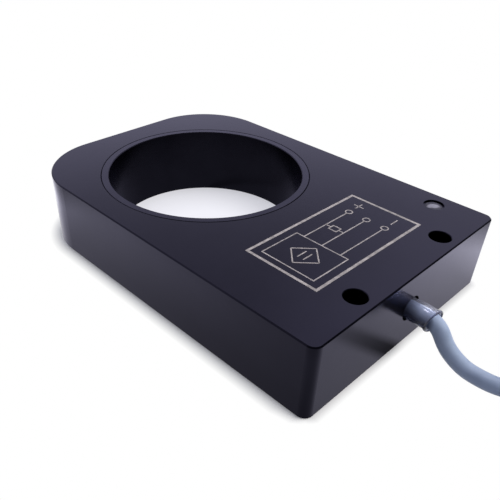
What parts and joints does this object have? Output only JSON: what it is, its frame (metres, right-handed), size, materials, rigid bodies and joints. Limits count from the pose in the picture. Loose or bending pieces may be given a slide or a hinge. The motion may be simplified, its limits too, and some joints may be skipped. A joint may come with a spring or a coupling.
{
  "type": "inductive ring sensor",
  "caption": "Flat black block sensor with a large lined ring opening for passing metal parts, screw holes at the cable end, an indicator light and a grey cable with bare leads.",
  "frame": {"origin": "centre of the ring bore, in the plane of the underside", "axes": "+Z along the bore, up out of the top face; +Y from the cable end towards the ring end; +X towards the side with the indicator"},
  "size_m": [0.0959, 0.1838, 0.0201],
  "materials": {
    "body_black": "satin black anodised",
    "sleeve_black": "satin turned black plastic",
    "copper": "enamelled copper wire",
    "resin_black": "cast black resin",
    "board_green": "green solder mask",
    "chip_black": "moulded black package with tinned legs",
    "can_silver": "drawn can",
    "chip_grey": "glazed chip with tinned caps",
    "chip_tan": "fired ceramic with tinned caps",
    "solder": "tinned",
    "lamp_pale": "pale lamp body",
    "lens_clear": "clear, slightly milky",
    "boot_clear": "clear soft plastic, glossy",
    "crimp_steel": "plated",
    "core_brown": "brown core insulation",
    "core_black": "black core insulation",
    "core_blue": "blue core insulation",
    "jacket_grey": "satin blue-grey jacket",
    "tie_black": "moulded strap"
  },
  "bodies": {
    "root": {"housing": "body_black", "bore_sleeve": "sleeve_black", "sensing_coil": "copper", "coil_leads": "copper", "potting": "resin_black", "circuit_board": "board_green", "oscillator_chip": "chip_black", "output_transistor": "chip_black", "voltage_regulator": "chip_black", "smoothing_capacitor": "can_silver", "protection_diodes": "chip_black", "chip_resistors": "chip_grey", "chip_capacitors": "chip_tan", "solder_joints": "solder", "indicator_led": "lamp_pale", "light_pipe": "lens_clear", "cable_boot": "boot_clear", "cable_retainer": "crimp_steel", "core_brown": "core_brown", "core_black": "core_black", "core_blue": "core_blue", "cable": "jacket_grey", "cable_coil": "jacket_grey", "cable_tie": "tie_black", "lead_brown": "core_brown", "lead_black": "core_black", "lead_blue": "core_blue", "lead_tips": "solder"}
  },
  "joints": []
}
